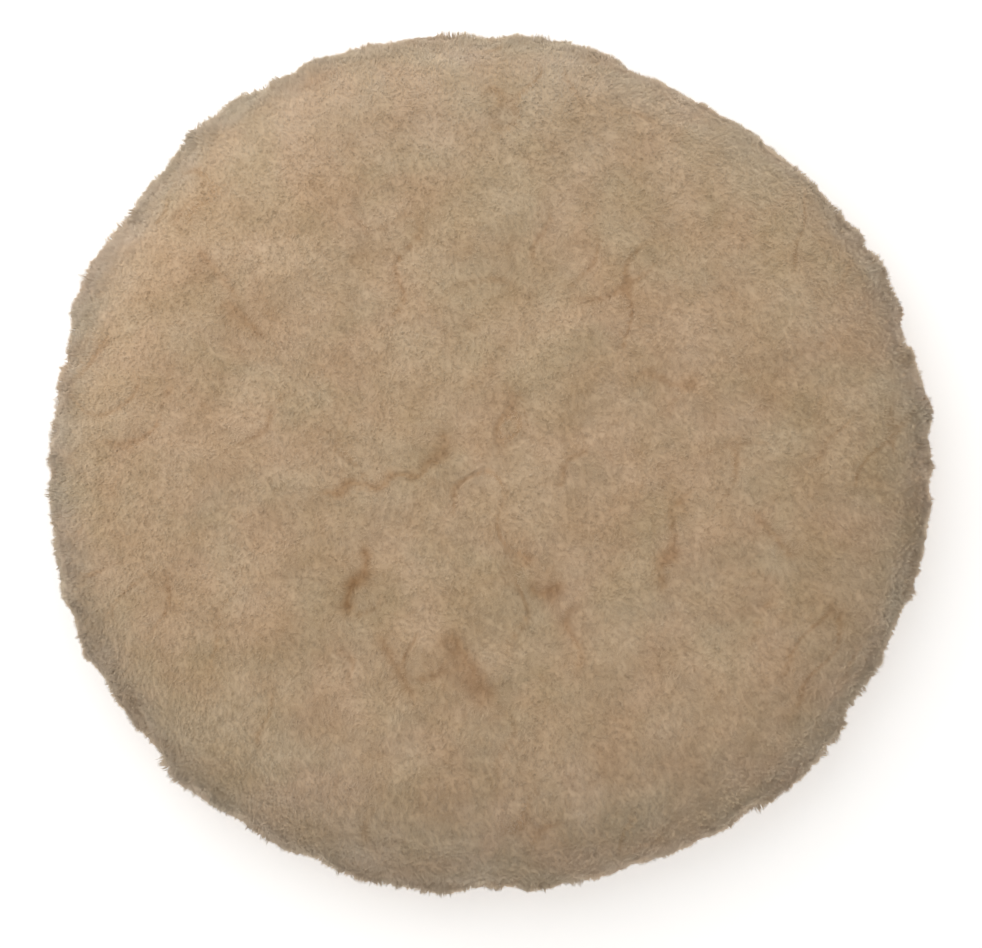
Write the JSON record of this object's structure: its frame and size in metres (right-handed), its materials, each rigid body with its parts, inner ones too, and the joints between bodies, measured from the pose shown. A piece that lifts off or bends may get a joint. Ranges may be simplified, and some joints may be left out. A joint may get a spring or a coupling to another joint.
{
  "type": "polishing pad",
  "caption": "Round lambswool polishing pad with a foam cushion and a stitched hook-and-loop back, for a rotary or random-orbit polisher.",
  "frame": {"origin": "middle of the loop face that grips the machine's backing plate, on the pad's axis", "axes": "+Z from the loop face towards the wool face, along the pad's axis; +Y is up in the picture and +X is right"},
  "size_m": [0.2028, 0.1974, 0.0325],
  "materials": {
    "wool": "matte natural fleece, combed and clipped",
    "leather": "matte suede underside of a tanned sheepskin",
    "adhesive": "dried contact adhesive film",
    "foam": "open-cell polyurethane foam",
    "loop_ground": "knitted nylon",
    "loop_nap": "brushed nylon loops",
    "thread": "twisted bonded nylon"
  },
  "bodies": {
    "root": {"loop_nap": "loop_nap", "loop_ground": "loop_ground", "loop_adhesive": "adhesive", "foam_cushion": "foam", "hide_adhesive": "adhesive", "sheepskin_hide": "leather", "wool_pile": "wool", "needle_thread": "thread", "bobbin_thread": "thread"}
  },
  "joints": []
}
